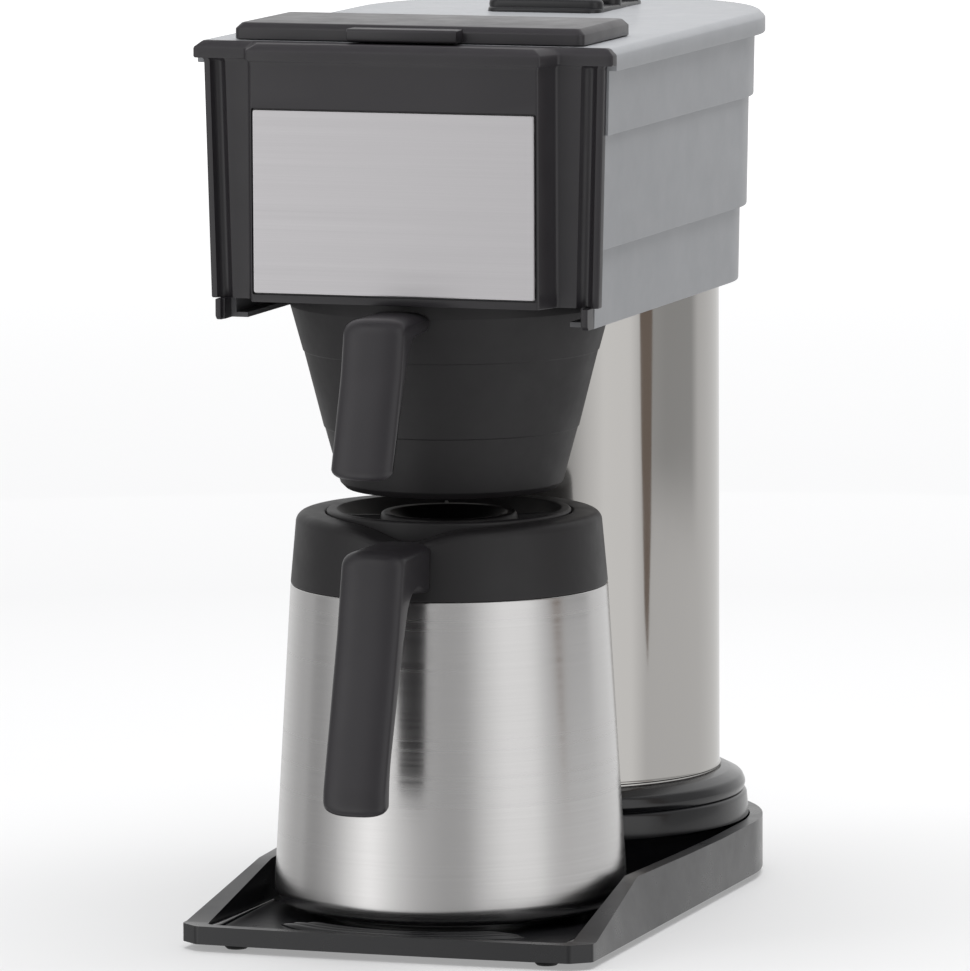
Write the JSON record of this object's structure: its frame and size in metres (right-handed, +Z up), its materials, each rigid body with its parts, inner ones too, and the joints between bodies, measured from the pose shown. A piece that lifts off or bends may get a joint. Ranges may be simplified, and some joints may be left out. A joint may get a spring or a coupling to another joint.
{
  "type": "drip coffee maker",
  "caption": "Upright drip coffee maker: grey hood with a top fill lid, slide-in brew funnel, steel column, low tray base and a thermal carafe with a free-ended handle.",
  "frame": {"origin": "on the table at the centre of the plan outline, carafe handle to rear of hood", "axes": "+Z up, +Y to the rear, so the front and the handles face -Y; +X to the right as seen from the front"},
  "size_m": [0.18, 0.359, 0.379],
  "materials": {
    "base_black": "moulded, fine satin texture with a soft gloss",
    "rubber_feet": "soft matte rubber",
    "screw_steel": "plated steel",
    "polished_steel": "polished stainless steel",
    "tank_steel": "plain stainless steel",
    "foam": "soft insulating foam",
    "seal_silicone": "soft silicone",
    "inner_plastic": "plain moulded plastic",
    "hood_grey": "satin moulded plastic, cool grey",
    "fascia_charcoal": "moulded plastic, satin gloss",
    "badge_steel": "brushed plate, left blank",
    "funnel_black": "matte moulded plastic",
    "grip_black": "smooth moulded plastic",
    "carafe_steel": "brushed stainless steel",
    "collar_black": "fine matte moulded plastic"
  },
  "bodies": {
    "machine": {"tray_base": "base_black", "base_plate": "base_black", "feet": "rubber_feet", "base_screws": "screw_steel", "column_foot": "base_black", "column_collar": "base_black", "column_skin": "polished_steel", "water_tank": "tank_steel", "tank_insulation": "foam", "tank_gasket": "seal_silicone", "tank_lid": "inner_plastic", "heating_element": "tank_steel", "thermostat": "inner_plastic", "hood_shell": "hood_grey", "lid_hinge_pin": "screw_steel", "hood_floor": "inner_plastic", "hood_pan": "inner_plastic", "funnel_rails": "inner_plastic", "steam_vent": "fascia_charcoal", "fascia": "fascia_charcoal", "badge_plate": "badge_steel", "reservoir": "inner_plastic", "valve_guide": "inner_plastic", "valve_spring": "screw_steel", "fill_tube": "seal_silicone", "spray_tube": "seal_silicone", "spray_head": "inner_plastic", "switch_bezel": "base_black", "cord_gland": "base_black"},
    "fill_lid": {"fill_lid": "fascia_charcoal"},
    "valve": {"valve_stem": "inner_plastic"},
    "rocker": {"rocker_switch": "grip_black"},
    "funnel": {"brew_funnel": "funnel_black", "funnel_handle": "grip_black"},
    "carafe": {"carafe_shell": "carafe_steel", "carafe_base": "carafe_steel", "carafe_liner": "carafe_steel", "carafe_collar": "collar_black", "carafe_handle": "grip_black", "handle_screw": "screw_steel"},
    "carafe_lid": {"carafe_lid": "collar_black", "carafe_lid_seal": "seal_silicone"}
  },
  "joints": [
    {"name": "fill_lid_hinge", "type": "hinge", "parent": "machine", "child": "fill_lid", "pos_m": [0, -0.036, 0.3751], "axis": [-1, 0, 0], "range_deg": [0, 95]},
    {"name": "valve_slide", "type": "slide", "parent": "machine", "child": "valve", "axis": [0, 0, 1], "range_m": [0, 0.008], "stiffness_N_per_m": 40, "springref_m": 0.012, "deforming": ["valve_spring"]},
    {"name": "power_rocker", "type": "hinge", "parent": "machine", "child": "rocker", "pos_m": [-0.0835, 0.0715, 0.017], "axis": [0, 0, -1], "range_deg": [0, 16]},
    {"name": "funnel_slide", "type": "slide", "parent": "machine", "child": "funnel", "axis": [0, -1, 0], "range_m": [0, 0.15]},
    {"name": "carafe_slide", "type": "slide", "parent": "machine", "child": "carafe", "axis": [0, -1, 0], "range_m": [0, 0.18]},
    {"name": "carafe_lid_turn", "type": "hinge", "parent": "carafe", "child": "carafe_lid", "pos_m": [0, -0.054, 0.16], "axis": [0, 0, 1], "range_deg": [0, 60]}
  ],
  "couplings": [
    {"joint": "valve_slide", "follows": "fill_lid_hinge", "m_per_rad": 0.0048}
  ]
}
